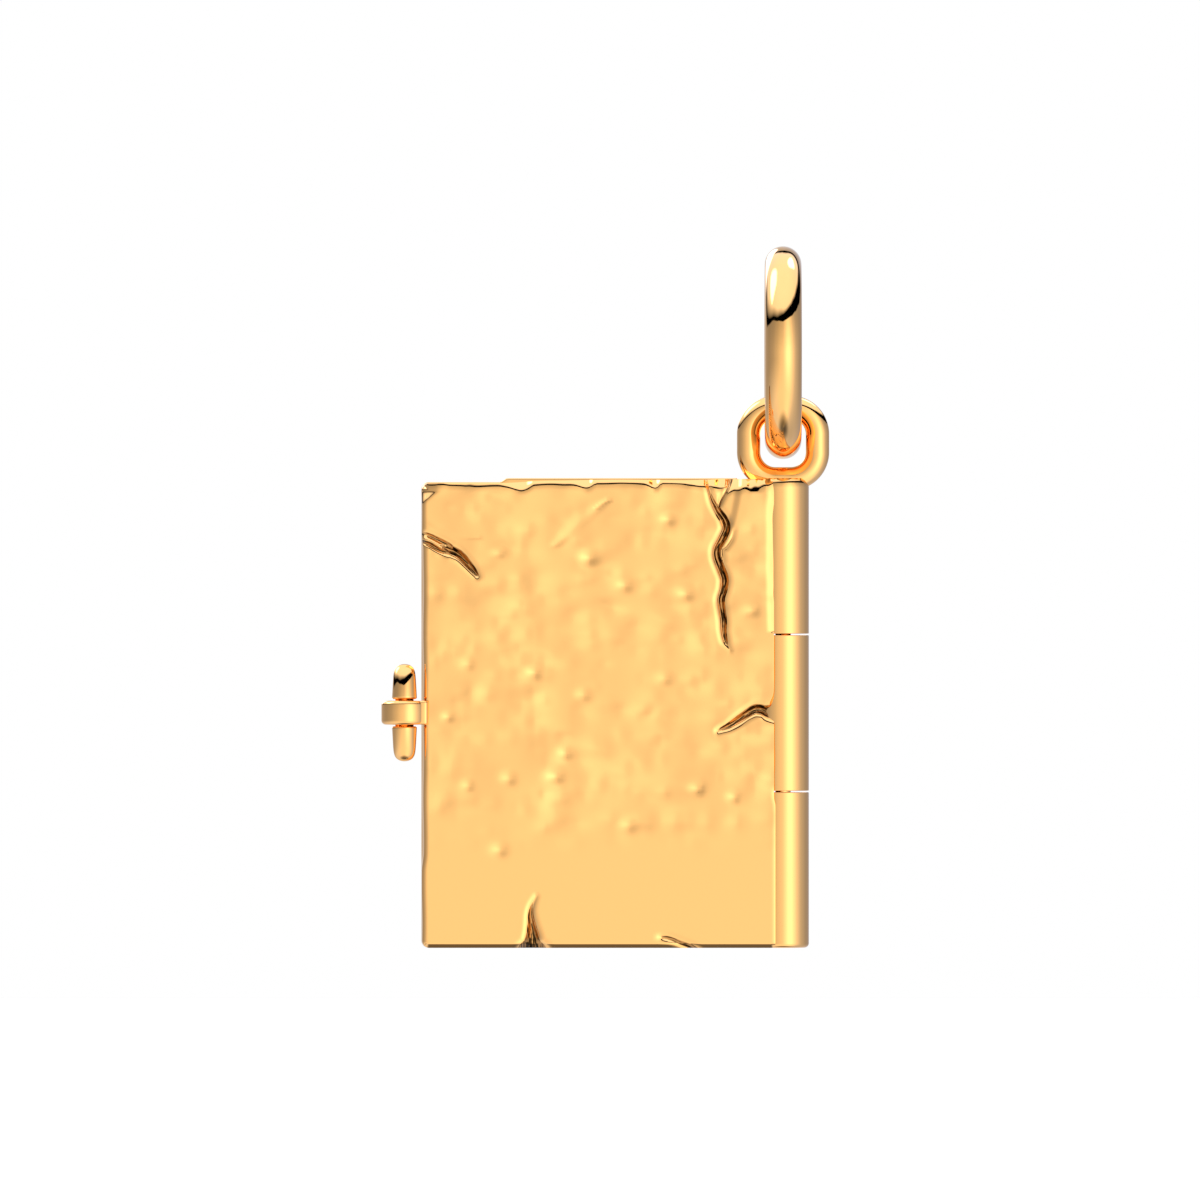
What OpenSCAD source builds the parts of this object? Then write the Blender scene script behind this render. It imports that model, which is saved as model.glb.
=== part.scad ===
// Book-shaped locket charm in polished gold: two worn covers on a pinned barrel hinge, a clasp made of a clip and a
// cross bar, a bail soldered on top of the spine, and a plain round ring.
// Millimetres, +Z up. The origin is the top of the ring's hole, where a chain carries the charm.
// The back cover faces -Y, the hinge is on the +X side and the clasp on the -X side.

/* [Ring] */
// Outside diameter of the ring
ring_d = 6.92; // [6.6:0.02:7.6]
// Diameter of the ring's round wire
ring_wire_d = 1.2; // [1:0.05:1.3]
// Gap between the ring and the bail that hangs in it
ring_gap = 0.1; // [0.05:0.01:0.15]

/* [Bail] */
// Outside width of the bail
bail_w = 3; // [2.9:0.02:3.2]
// Outside height of the bail
bail_h = 3.08; // [3:0.02:3.2]
// Diameter of the bail's round wire
bail_wire_d = 0.76; // [0.7:0.02:0.8]
// Radius of the corners of the bail's hole
bail_corner_r = 0.49; // [0.4:0.01:0.6]
// Depth that the bail is sunk into the top of the book
bail_sink = 0.24; // [0.2:0.01:0.3]

/* [Covers] */
// Width of a cover, from fore-edge to hinge edge
cover_w = 11.46; // [11:0.02:12.5]
// Height of a cover
cover_h = 15.1; // [14.6:0.02:16]
// Thickness of the closed book
book_t = 1.68; // [1.6:0.02:1.8]
// Gap between the two covers along the seam
seam_gap = 0.06; // [0.04:0.01:0.1]
// Thickness of a cover's face
face_t = 0.45; // [0.4:0.01:0.55]
// Width of the rim round a cover's inner recess
rim_w = 0.7; // [0.65:0.01:0.9]
// Width of that rim along the hinge
hinge_rim_w = 1.1; // [1.05:0.01:1.3]
// Radius of the covers' fore-edge corners
corner_r = 0.24; // [0.15:0.01:0.35]
// Bevel along the covers' outer edges
edge_bevel = 0.12; // [0.05:0.01:0.16]

/* [Hinge] */
// Diameter of the hinge barrel
barrel_d = 1.68; // [1.6:0.02:1.8]
// Distance from the covers' hinge edge to the hinge axis
hinge_offset = 0.3; // [0.25:0.01:0.4]
// Gap between neighbouring knuckles
knuckle_gap = 0.05; // [0.04:0.01:0.1]
// Gap between a cover and the other cover's knuckles
knuckle_clearance = 0.06; // [0.05:0.01:0.1]
// Diameter of the hinge pin
pin_d = 0.5; // [0.4:0.02:0.6]
// Radial clearance of the pin in the middle knuckle
pin_running_fit = 0.04; // [0.02:0.01:0.08]

/* [Clasp] */
// Distance from the covers' fore-edge out to the cross bar's axis
clasp_reach = 0.54; // [0.52:0.01:0.56]
// Distance from the top of the cover down to the middle of the clasp
clasp_drop = 7.46; // [6.9:0.02:8]
// Outside diameter of the clip
clip_d = 1.5; // [1.46:0.02:1.54]
// Height of the clip
clip_h = 0.78; // [0.7:0.02:0.9]
// Diameter of the cross bar's round ends
bar_d = 0.81; // [0.76:0.01:0.82]
// Overall length of the cross bar
bar_l = 3.16; // [2.8:0.02:3.4]
// Diameter of the cross bar's neck, inside the clip
neck_d = 0.6; // [0.5:0.02:0.62]

/* [Wear] */
// Depth of the cracks in the back cover's face
crack_depth = 0.24; // [0.15:0.01:0.3]
// Depth of the dimples in the faces
dimple_depth = 0.04; // [0.02:0.005:0.06]
// Amount that the back cover's fore-edge is worn back
fore_wear = 0.065; // [0.02:0.005:0.1]

/* [Hidden] */
$fn = 64;
eps = 0.01;

// Ring, hung with the top of its hole at the origin
ring_r = (ring_d - ring_wire_d) / 2;
ring_z = ring_wire_d / 2 - ring_r;

// Bail, whose top bar lies over the bottom of the ring's wire
bail_top = 2 * ring_z + ring_gap + bail_wire_d;
bail_z = bail_top - bail_h / 2;
bail_half_w = (bail_w - bail_wire_d) / 2;
bail_half_h = (bail_h - bail_wire_d) / 2;
bail_bend_r = bail_corner_r + bail_wire_d / 2;
bail_clearance = 0.11;

// Covers
half_t = book_t / 2;
book_top = bail_top - bail_h + bail_sink;
book_bottom = book_top - cover_h;
hinge_x = 0;
cover_right = hinge_x - hinge_offset;
cover_left = cover_right - cover_w;
recess_depth = half_t - face_t;
front_top_rise = 0.16;
front_low_rise = 0.03;
front_step = [2.55, 2.8];

// Hinge: the barrel ends level with the front cover's top and with both covers' bottom
barrel_r = barrel_d / 2;
barrel_top = book_top + front_top_rise;
barrel_bottom = book_bottom;
knuckle_l = (barrel_top - barrel_bottom - 2 * knuckle_gap) / 3;
upper_joint_z = barrel_top - knuckle_l;
lower_joint_z = barrel_bottom + knuckle_l;
barrel_bevel = 0.13;
joint_bevel = 0.03;
pin_r = pin_d / 2;
pin_seat = 0.01;
bore_top = bail_top - bail_h - 0.16;
pin_inset = 0.04;

// Clasp: the cross bar leaves the clip along an arc about the hinge axis
clasp_x = cover_left - clasp_reach;
clasp_y = -half_t - 0.1;
clasp_z = book_top - clasp_drop;
swing_r = norm([clasp_x - hinge_x, clasp_y]);
neck_angle = 180 + atan(clasp_y / (clasp_x - hinge_x));
clip_bore_r = neck_d / 2 + 0.06;
clip_bevel = 0.14;
clip_root = [0.5, 0.45, 0.76];
mouth_sweep = 4.5;
arm_w = 0.4;
arm_h = 0.5;
arm_end_y = 0.66;
arm_sweep = neck_angle - 180 + asin(arm_end_y / swing_r);
arm_foot_t = 0.46;
bar_gap = 0.05;
bar_bevel = 0.04;
bar_taper = 0.1;
bar_steps = 9;

// Cracks in the back cover, each a strip: [distance from fore-edge, distance from top, width]
fore_crack = [[-0.1, 1.85, 0.38], [0.3, 2, 0.38], [0.7, 2.17, 0.36], [1.13, 2.4, 0.32], [1.5, 2.72, 0.26],
              [1.85, 3.06, 0.1]];
top_crack = [[9.68, -0.1, 0.74], [9.68, 0.3, 0.6], [9.7, 0.77, 0.42], [9.88, 1.32, 0.32], [9.84, 1.65, 0.28],
             [9.58, 2.14, 0.27], [9.58, 2.53, 0.27], [9.78, 2.88, 0.27], [9.85, 3.21, 0.26], [9.77, 3.73, 0.24],
             [9.78, 4.12, 0.22], [9.86, 4.54, 0.2], [9.87, 5, 0.16], [10.02, 5.39, 0.06]];
hinge_crack = [[11.62, 7.5, 0.8], [11.3, 7.42, 0.5], [10.9, 7.3, 0.3], [10.59, 7.38, 0.27], [10.26, 7.6, 0.25],
               [9.94, 7.85, 0.2], [9.65, 8.08, 0.08]];
bottom_crack = [[3.6, 15.3, 0.8], [3.6, 15, 0.62], [3.57, 14.6, 0.38], [3.54, 14.15, 0.26], [3.63, 13.67, 0.16],
                [3.76, 13.38, 0.06]];
bottom_chip = [[7.79, 14.68, 0.12], [8.1, 14.8, 0.24], [8.5, 14.96, 0.24], [8.95, 15.15, 0.24]];
cracks = [fore_crack, top_crack, hinge_crack, bottom_crack, bottom_chip];

// Bites out of the back cover's top rim: [distance from fore-edge, width, drop]
bites = [[3.16, 0.94, 0.16], [5.16, 0.86, 0.14], [7.42, 0.7, 0.13], [10.7, 1, 0.15]];
bite_setback = 0.5;

// Dimples in the faces: [distance from fore-edge, distance from top, diameter]
back_dimples = [[2.6, 2.25, 0.42], [5.4, 2.4, 0.46], [6.65, 3.3, 0.44], [8.6, 3.6, 0.4], [8.05, 1.2, 0.4],
                [4.4, 9.5, 0.5], [4.7, 8.8, 0.36], [2.6, 11.9, 0.4], [2.9, 9.6, 0.4], [1.55, 9.85, 0.36],
                [9, 9.9, 0.4], [10.2, 10.15, 0.36], [3.7, 6.15, 0.4], [0.9, 7.6, 0.36], [5.3, 6.85, 0.4]];
front_dimples = [[2.1, 3.4, 0.44], [4.6, 5.2, 0.4], [7.3, 2.9, 0.46], [8.8, 6.6, 0.4], [3.4, 9.1, 0.44],
                 [6.2, 10.4, 0.4], [9.3, 11.2, 0.44], [2.4, 12.6, 0.36]];

// Points of a quarter circle, counter-clockwise from angle a
function quarter(cx, cz, r, a) = [for (i = [0:4]) [cx + r * cos(a + i * 22.5), cz + r * sin(a + i * 22.5)]];

// A point of a cover's face from its distances from the fore-edge and the top
function on_face(across, down) = [cover_left + across, book_top - down];

// Direction of a crack at station i, from its neighbours
function heading(rows, i) =
    let (a = rows[max(i - 1, 0)], b = rows[min(i + 1, len(rows) - 1)], d = [b[0] - a[0], a[1] - b[1]])
    d / norm(d);

// One side of a crack: s is 1 for the left bank and -1 for the right
function bank(rows, i, s) =
    let (h = heading(rows, i), c = on_face(rows[i][0], rows[i][1]))
    c + s * rows[i][2] / 2 * [-h[1], h[0]];

function crack_outline(rows) = concat(
    [for (i = [0:len(rows) - 1]) bank(rows, i, -1)],
    [for (i = [len(rows) - 1:-1:0]) bank(rows, i, 1)]);

// Radius of the cross bar's bullet-shaped end, u from 0 at its shoulder to 1 at its tip
function bullet_r(u) = bar_d / 2 * (1 - bar_taper * u) * sqrt(1 - pow(u, 7));

back_outline = concat(
    quarter(cover_left + corner_r, book_top - corner_r, corner_r, 90),
    [on_face(0, 1.8), on_face(fore_wear, 2.3), on_face(fore_wear, 12), on_face(0, 12.6)],
    quarter(cover_left + corner_r, book_bottom + corner_r, corner_r, 180),
    [[cover_right, book_bottom], [cover_right, book_top]]);

front_outline = concat(
    [[cover_right, book_top + front_top_rise], on_face(front_step[1], -front_top_rise),
     on_face(front_step[0], -front_low_rise)],
    quarter(cover_left + corner_r, book_top + front_low_rise - corner_r, corner_r, 90),
    quarter(cover_left + corner_r, book_bottom + corner_r, corner_r, 180),
    [[cover_right, book_bottom]]);

// A profile in X and Z, drawn out along Y from y0 to y1
module along_y(y0, y1) translate([0, y1, 0]) rotate([90, 0, 0]) linear_extrude(y1 - y0) children();

// Half of the closed book on the -Y side: a shallow tray with bevelled outer edges, as high as top
module tray(outline, top) {
    difference() {
        intersection() {
            along_y(-half_t, -seam_gap / 2) polygon(outline);
            translate([0, 0, book_bottom - 1]) linear_extrude(cover_h + 2) polygon([
                [cover_left, -seam_gap / 2], [cover_left, edge_bevel - half_t], [cover_left + edge_bevel, -half_t],
                [cover_right - edge_bevel, -half_t], [cover_right, edge_bevel - half_t],
                [cover_right, -seam_gap / 2]]);
            translate([cover_left - 1, 0, 0]) rotate([90, 0, 90]) linear_extrude(cover_w + 2) polygon([
                [-seam_gap / 2, book_bottom], [edge_bevel - half_t, book_bottom],
                [-half_t, book_bottom + edge_bevel], [-half_t, top - edge_bevel],
                [edge_bevel - half_t, top], [-seam_gap / 2, top]]);
        }
        translate([cover_left + rim_w, -recess_depth, book_bottom + rim_w])
            cube([cover_w - rim_w - hinge_rim_w, recess_depth, cover_h - 2 * rim_w]);
    }
}

// A turned knuckle of the barrel from z0 to z1, with a bevel at each end
module knuckle(z0, z1, bevel0, bevel1) {
    translate([hinge_x, 0, 0]) rotate_extrude() polygon([
        [0, z0], [barrel_r - bevel0, z0], [barrel_r, z0 + bevel0],
        [barrel_r, z1 - bevel1], [barrel_r - bevel1, z1], [0, z1]]);
}

// A cylinder on the hinge axis
module on_hinge(r, z0, z1) translate([hinge_x, 0, z0]) cylinder(r = r, h = z1 - z0);

// A sector of a ring about the hinge axis, centred on the clasp's arc
module clasp_arc(w, h, from, sweep) {
    translate([hinge_x, 0, clasp_z]) rotate([0, 0, from])
        rotate_extrude(angle = sweep) translate([swing_r - w / 2, -h / 2]) square([w, h]);
}

module bail() {
    straight_w = bail_half_w - bail_bend_r;
    straight_h = bail_half_h - bail_bend_r;
    translate([0, 0, bail_z]) {
        for (q = [[1, 1, 0], [-1, 1, 90], [-1, -1, 180], [1, -1, 270]])
            translate([q[0] * straight_w, 0, q[1] * straight_h]) rotate([90, 0, 0]) rotate([0, 0, q[2]])
                rotate_extrude(angle = 90) translate([bail_bend_r, 0]) circle(d = bail_wire_d);
        for (s = [-1, 1]) {
            translate([s * bail_half_w, 0, -straight_h]) cylinder(d = bail_wire_d, h = 2 * straight_h);
            translate([-straight_w, 0, s * bail_half_h]) rotate([0, 90, 0])
                cylinder(d = bail_wire_d, h = 2 * straight_w);
        }
    }
}

// The clip's outside, with the root that solders it to the fore-edge
module clip_blank() {
    translate([clasp_x, clasp_y, clasp_z]) rotate_extrude() polygon([
        [0, -clip_h / 2], [clip_d / 2 - clip_bevel, -clip_h / 2], [clip_d / 2, clip_bevel - clip_h / 2],
        [clip_d / 2, clip_h / 2 - clip_bevel], [clip_d / 2 - clip_bevel, clip_h / 2], [0, clip_h / 2]]);
    translate([cover_left + 0.1 - clip_root[0], edge_bevel - half_t, clasp_z - clip_root[2] / 2]) cube(clip_root);
}

// The clip's bore and the mouth through which the cross bar leaves as the book opens
module clip_hollow() {
    translate([clasp_x, clasp_y, clasp_z - clip_h]) cylinder(r = clip_bore_r, h = 2 * clip_h);
    clasp_arc(2 * clip_bore_r, 2 * clip_h, neck_angle - mouth_sweep, mouth_sweep);
}

module dimple(row) {
    bowl_r = (row[2] * row[2] / 4 + dimple_depth * dimple_depth) / (2 * dimple_depth);
    p = on_face(row[0], row[1]);
    translate([p[0], dimple_depth - bowl_r - half_t, p[1]]) sphere(r = bowl_r);
}

module bite(row) {
    outline_r = (row[1] * row[1] / 4 + row[2] * row[2]) / (2 * row[2]);
    p = on_face(row[0], row[2] - outline_r);
    translate([p[0], -half_t - bite_setback, p[1]]) sphere(r = norm([outline_r, bite_setback]));
}

module back_cover() {
    color("#ffcf80") difference() {
        union() {
            difference() {
                tray(back_outline, book_top);
                for (rows = cracks)
                    along_y(-half_t - crack_depth, crack_depth - half_t) polygon(crack_outline(rows));
                for (row = back_dimples) dimple(row);
                for (row = bites) bite(row);
                on_hinge(barrel_r + knuckle_clearance, lower_joint_z, upper_joint_z);
            }
            knuckle(upper_joint_z, barrel_top, joint_bevel, barrel_bevel);
            knuckle(barrel_bottom, lower_joint_z, barrel_bevel, joint_bevel);
            bail();
            clip_blank();
        }
        clip_hollow();
        on_hinge(pin_r + pin_seat, barrel_bottom - 1, bore_top);
    }
}

module front_cover() {
    color("#f6c070") difference() {
        union() {
            difference() {
                mirror([0, 1, 0]) tray(front_outline, book_top + front_top_rise);
                for (row = front_dimples) mirror([0, 1, 0]) dimple(row);
                on_hinge(barrel_r + knuckle_clearance, upper_joint_z - knuckle_gap, barrel_top + 1);
                on_hinge(barrel_r + knuckle_clearance, barrel_bottom - 1, lower_joint_z + knuckle_gap);
                translate([-bail_w / 2, 0, book_top - bail_sink - bail_clearance]) cube([bail_w, half_t + 1, 1]);
            }
            knuckle(lower_joint_z + knuckle_gap, upper_joint_z - knuckle_gap, joint_bevel, joint_bevel);
            clasp_arm();
            cross_bar();
        }
        on_hinge(pin_r + pin_running_fit, lower_joint_z, upper_joint_z);
    }
}

// The curved arm that carries the cross bar past the back cover's fore-edge, and its foot on the front cover
module clasp_arm() {
    clasp_arc(arm_w, arm_h, neck_angle - arm_sweep, arm_sweep);
    translate([hinge_x - swing_r, arm_end_y - arm_foot_t, clasp_z - arm_h / 2])
        cube([swing_r - hinge_x + cover_left + 0.1, arm_foot_t, arm_h]);
}

// The neck and the two bullet-shaped ends that keep the bar in its clip
module cross_bar() {
    shoulder = clip_h / 2 + bar_gap;
    tip = bar_l / 2;
    end_profile = concat(
        [[0, shoulder], [bar_d / 2 - bar_bevel, shoulder], [bar_d / 2, shoulder + bar_bevel]],
        [for (i = [1:bar_steps - 1]) let (u = 1 - pow(1 - i / bar_steps, 2))
            [bullet_r(u), shoulder + u * (tip - shoulder)]],
        [[0, tip]]);
    translate([clasp_x, clasp_y, clasp_z]) {
        cylinder(d = neck_d, h = 2 * shoulder + eps, center = true);
        for (s = [0, 1]) mirror([0, 0, s]) rotate_extrude() polygon(end_profile);
    }
}

module hinge_pin() {
    color("#e0ac60") on_hinge(pin_r, barrel_bottom + pin_inset, bore_top - pin_inset);
}

module charm_ring() {
    color("#ffd890") translate([0, 0, ring_z]) rotate([0, 90, 0])
        rotate_extrude() translate([ring_r, 0]) circle(d = ring_wire_d);
}

charm_ring();
back_cover();
hinge_pin();
front_cover();
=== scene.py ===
"""Book-shaped locket charm in polished 18 carat gold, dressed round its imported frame.

Sizes in the tables are millimetres in the frame's own axes: +X to the hinge, -Y out of the back cover, +Z up.
A place on a cover is given by its distance from the fore-edge (across) and from the top edge (down).
"""

import math

import bmesh
import bpy
import numpy as np
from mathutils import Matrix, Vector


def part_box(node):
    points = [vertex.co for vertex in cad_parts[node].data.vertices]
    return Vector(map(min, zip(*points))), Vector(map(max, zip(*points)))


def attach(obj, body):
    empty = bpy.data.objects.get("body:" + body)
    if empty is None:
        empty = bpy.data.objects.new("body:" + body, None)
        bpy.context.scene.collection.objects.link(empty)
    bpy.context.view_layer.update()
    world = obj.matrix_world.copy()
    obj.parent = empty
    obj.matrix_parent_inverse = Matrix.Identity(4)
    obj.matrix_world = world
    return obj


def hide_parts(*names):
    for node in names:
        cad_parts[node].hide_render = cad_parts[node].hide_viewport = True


bl_info = {
    "name": "Book charm",
    "version": (1, 0, 0),
    "blender": (4, 5, 0),
    "location": "3D View > Sidebar > Book charm",
    "description": "Builds a worn book-shaped locket charm in polished gold round its packed frame",
    "category": "Add Mesh",
}

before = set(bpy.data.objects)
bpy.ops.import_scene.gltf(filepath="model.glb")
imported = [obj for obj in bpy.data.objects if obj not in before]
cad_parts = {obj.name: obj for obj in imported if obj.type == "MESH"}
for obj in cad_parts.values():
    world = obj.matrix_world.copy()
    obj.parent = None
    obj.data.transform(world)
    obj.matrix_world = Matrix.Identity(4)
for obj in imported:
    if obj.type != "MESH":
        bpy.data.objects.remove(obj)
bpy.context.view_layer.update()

MM = 0.001


def node_box(node):
    """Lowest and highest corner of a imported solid, in millimetres."""
    low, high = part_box(node)
    return np.array(low) / MM, np.array(high) / MM


ring_low, ring_high = node_box("charm_ring")
back_low, back_high = node_box("back_cover")
pin_low, pin_high = node_box("hinge_pin")
_, front_high = node_box("front_cover")

# Hinge, from the pin and from the barrel's ends
HINGE_X = (pin_low[0] + pin_high[0]) / 2
BARREL_BOTTOM = back_low[2]
BARREL_TOP = BARREL_BOTTOM + 15.26
KNUCKLE_GAP = 0.05
KNUCKLE_L = (BARREL_TOP - BARREL_BOTTOM - 2 * KNUCKLE_GAP) / 3
UPPER_JOINT_Z = BARREL_TOP - KNUCKLE_L
LOWER_JOINT_Z = BARREL_BOTTOM + KNUCKLE_L
# Radius of the bores that hold the pin and of the one that turns on it
SEAT_R = 0.26
RUNNING_R = 0.29
# Room that each cover leaves round the other's knuckles
KNUCKLE_ROOM = 0.06

# Covers, from the barrel and from the front cover's outer face
COVER_W = 11.46
COVER_H = 15.1
HALF_T = front_high[1]
COVER_RIGHT = HINGE_X - 0.3
COVER_LEFT = COVER_RIGHT - COVER_W
BOOK_TOP = BARREL_TOP - 0.16
SEAM_GAP = 0.06
HINGE_CORNER_R = 0.14
# Recess inside: the metal over its floor, the rim round it, and the radii of the rim's and the floor's edges
FACE_T = 0.45
RIM_W = 0.7
HINGE_RIM_W = 1.1
RIM_ROUND = 0.05
FLOOR_ROUND = 0.12

# Clasp, on the fore-edge: the middle of the bar's neck, its thickness, the gap round it and the clip's height
CLASP_X = COVER_LEFT - 0.54
CLASP_Y = -HALF_T - 0.1
CLASP_Z = BOOK_TOP - 7.46
NECK_D = 0.6
NECK_GAP = 0.06
CLIP_H = 0.78

# Upper edge of the back cover's face: [across, drop below the straight edge], and the bites out of it:
# [where it starts, width, drop, lean of its deepest point to the hinge side]
RIM_LINE = [[0, 0.02], [0.6, 0], [2.6, 0], [3.9, -0.07], [4.7, -0.08], [5.9, -0.11], [7, -0.11], [8.4, -0.09],
            [9.2, -0.11], [10, -0.13], [10.9, -0.14], [11.46, -0.15]]
BITES = [[2.7, 0.95, 0.15, 1.25], [4.7, 0.9, 0.14, 2.3], [7.08, 0.66, 0.16, 2.8]]
# Power of the sine that rounds a bite
BITE_POWER = 1.2

# How far the roll of that edge is pushed down
TOP_PUSH = [[0, -0.1], [0.35, -0.1], [0.65, -0.09], [0.95, -0.05], [1.4, -0.06], [1.7, -0.11], [2.5, -0.09],
            [2.9, -0.03], [4.7, -0.02], [6, 0], [8.4, 0], [9.06, 0.09], [9.55, 0.12], [9.9, 0.17],
            [10.25, 0.2], [10.45, 0.16], [10.62, 0.06], [10.8, -0.04], [10.95, -0.02], [11.12, 0.06],
            [11.28, 0.08], [11.46, 0]]
# The flat dip below it near the bail: its start and end across, the width of its sides, its foot and slope
DIP_FROM, DIP_TO = 10.45, 11.2
DIP_SIDE = 0.28
DIP_DOWN = 0.41
DIP_SLOPE = 0.35
DIP_ROUNDING = 0.02

# Cracks in the back cover's face, each [across, down, width], with the depth of its groove
FORE_CRACK = [[0.7, 2.1, 0.2], [0.97, 2.2, 0.38], [1.23, 2.34, 0.38], [1.49, 2.6, 0.34], [1.68, 2.82, 0.28],
              [1.81, 2.99, 0.2]]
FORE_UPPER_BRANCH = [[-0.05, 1.58, 0.06], [0.08, 1.63, 0.12], [0.2, 1.69, 0.19], [0.5, 1.82, 0.22],
                     [0.87, 2.02, 0.24], [1.05, 2.16, 0.2]]
FORE_LOWER_BRANCH = [[-0.1, 1.9, 0.16], [0.16, 1.97, 0.22], [0.34, 2.06, 0.24], [0.61, 2.19, 0.24],
                     [0.9, 2.27, 0.24]]
TOP_CRACK = [[9.26, -0.1, 0.1], [9.34, 0.3, 0.13], [9.47, 0.64, 0.22], [9.67, 0.95, 0.32],
             [9.85, 1.22, 0.35], [9.9, 1.5, 0.35], [9.77, 1.82, 0.35], [9.61, 2.14, 0.35],
             [9.61, 2.42, 0.35], [9.74, 2.79, 0.35], [9.85, 3.12, 0.35], [9.82, 3.44, 0.34],
             [9.74, 3.77, 0.33], [9.77, 4.09, 0.31], [9.82, 4.47, 0.3], [9.82, 4.79, 0.27],
             [9.87, 5.08, 0.24], [9.93, 5.22, 0.16], [10.05, 5.4, 0.04]]
RIGHT_BRANCH = [[10.06, -0.05, 0.22], [9.97, 0.25, 0.17], [9.84, 0.46, 0.15], [9.7, 0.7, 0.16],
                [9.69, 0.94, 0.12]]
SIDE_BRANCH = [[10.15, 1.55, 0.07], [10.08, 1.82, 0.13], [9.92, 2.06, 0.14], [9.79, 2.18, 0.14],
               [9.8, 2.45, 0.13], [9.83, 2.66, 0.06]]
HINGE_CRACK = [[9.65, 8.06, 0.13], [9.78, 7.99, 0.2], [9.98, 7.9, 0.27], [10.17, 7.78, 0.31],
               [10.39, 7.64, 0.35], [10.62, 7.48, 0.37], [10.87, 7.36, 0.4], [11.14, 7.38, 0.44],
               [11.3, 7.45, 0.52], [11.7, 7.5, 0.7]]
BOTTOM_CRACK = [[3.64, 15.3, 1.1], [3.64, 15.0, 0.7], [3.63, 14.62, 0.48], [3.6, 14.35, 0.36],
                [3.57, 13.98, 0.24], [3.62, 13.7, 0.16], [3.74, 13.42, 0.05]]
BOTTOM_CHIP = [[7.82, 14.76, 0.16], [8.05, 14.8, 0.2], [8.4, 14.94, 0.22], [8.75, 15.08, 0.24],
               [9.1, 15.28, 0.2]]
CRACKS = [(0.25, FORE_CRACK), (0.16, FORE_UPPER_BRANCH), (0.18, FORE_LOWER_BRANCH),
          (0.25, TOP_CRACK), (0.16, RIGHT_BRANCH), (0.1, SIDE_BRANCH), (0.25, HINGE_CRACK),
          (0.27, BOTTOM_CRACK), (0.12, BOTTOM_CHIP)]
# A crack is shallower where half its width is less than this
FULL_HALF = 0.1

# Lip of a crack: it rolls over in a soft arc, then in a tight one, and goes on as a straight bank
SOFT_ARC_R = 0.33
SOFT_ARC_W = 0.14
TIGHT_ARC_W = 0.08
BANK_SLOPE = 1.4

# Edge of a face: the radius and the turn in degrees of its first soft arc, and the turn that it ends with
EDGE_ARC_R = 0.55
EDGE_ARC_TURN = 25
EDGE_END_TURN = 48
# How much narrower the roll of the fore-edge is than that of the top edge
FORE_TIGHTER = 1.8
# Bevel along the bottom edge, and how softly it starts
BOTTOM_BEVEL = 0.15
BEVEL_SOFTNESS = 0.12

# What a cover's points say of the nearest crack: how far inside its outline they lie, and their place across
# and along it
TRACKS = ["crack_inside", "crack_side", "crack_along"]

# Soft folds beside the cracks and scratches, and ridges where the number is negative: [across, down, width],
# with the depth of the fold
FOLDS = [(0.05, [[9.72, 0.1, 0.4], [9.7, 0.5, 0.24], [9.66, 0.75, 0.1]]),
         (-0.07, [[0.1, 1.86, 0.14], [0.4, 1.98, 0.13], [0.62, 2.12, 0.12], [0.8, 2.2, 0.06]]),
         (0.012, [[0.06, 1.3, 0.24], [0.6, 1.62, 0.22], [1.2, 1.74, 0.18], [1.9, 1.76, 0.1]]),
         (0.02, [[6.1, 0.58, 0.1], [5.75, 0.85, 0.24], [5.3, 1.2, 0.36], [4.8, 1.6, 0.36], [4.4, 2.0, 0.2]]),
         (0.03, [[5.7, 0.82, 0.05], [5.9, 0.67, 0.06], [6.09, 0.6, 0.05]])]

# The metal between the top crack and a soft wall beside it lies lower: [down, across] of that wall
GULLY_WALL = [[0, 10.46], [0.4, 10.44], [0.8, 10.36], [1.2, 10.26], [1.6, 10.12]]
GULLY_WALL_W = 0.3
GULLY_DEPTH = 0.08
# It ends at this distance from the top, over a soft step
GULLY_END, GULLY_FADE = 1.25, 0.35

# Dents in the faces: [across, down, diameter, strength], and how deep a dent of strength 1 is in its middle
DENT_DEPTH = 2.2
BACK_DENTS = [[2.6, 2.26, 0.4, 0.022], [5.49, 2.45, 0.5, 0.034], [6.66, 3.33, 0.44, 0.024],
              [8.64, 3.62, 0.44, 0.022], [8.06, 1.19, 0.4, 0.022], [10.82, 4.14, 0.4, 0.02],
              [4.42, 9.51, 0.5, 0.036], [4.71, 8.79, 0.36, 0.022], [2.6, 11.91, 0.42, 0.024],
              [2.89, 9.6, 0.4, 0.022], [1.56, 9.83, 0.36, 0.018], [9.03, 9.93, 0.42, 0.024],
              [10.2, 10.19, 0.38, 0.022], [3.7, 6.16, 0.42, 0.022], [0.91, 7.59, 0.36, 0.018],
              [1.56, 5.87, 0.4, 0.016], [5.32, 6.87, 0.42, 0.02], [7.96, 6.35, 0.44, 0.02],
              [6.76, 11.13, 0.44, 0.018]]
FRONT_DENTS = [[2.1, 3.4, 0.46, 0.012], [4.6, 5.2, 0.42, 0.01], [7.3, 2.9, 0.48, 0.014],
               [8.8, 6.6, 0.42, 0.011], [3.4, 9.1, 0.46, 0.013], [6.2, 10.4, 0.42, 0.011],
               [9.3, 11.2, 0.46, 0.012], [2.4, 12.6, 0.4, 0.01]]

# Soft hollows and swells, by size: [how many, smallest and largest radius, height as a share of the radius]
HOLLOWS = [[90, 0.5, 1.1, 0.03], [420, 0.18, 0.42, 0.07]]
# The front cover's are lower by this factor, and each cover has its own seed
FRONT_HOLLOWS = 0.5
BACK_SEED, FRONT_SEED = 11, 23
# Their middles lie no further down than this, and they fade out towards the bottom edge
HOLLOWS_DOWN = 12
HOLLOWS_END, HOLLOWS_FADE = 10.6, 1.6
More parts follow.
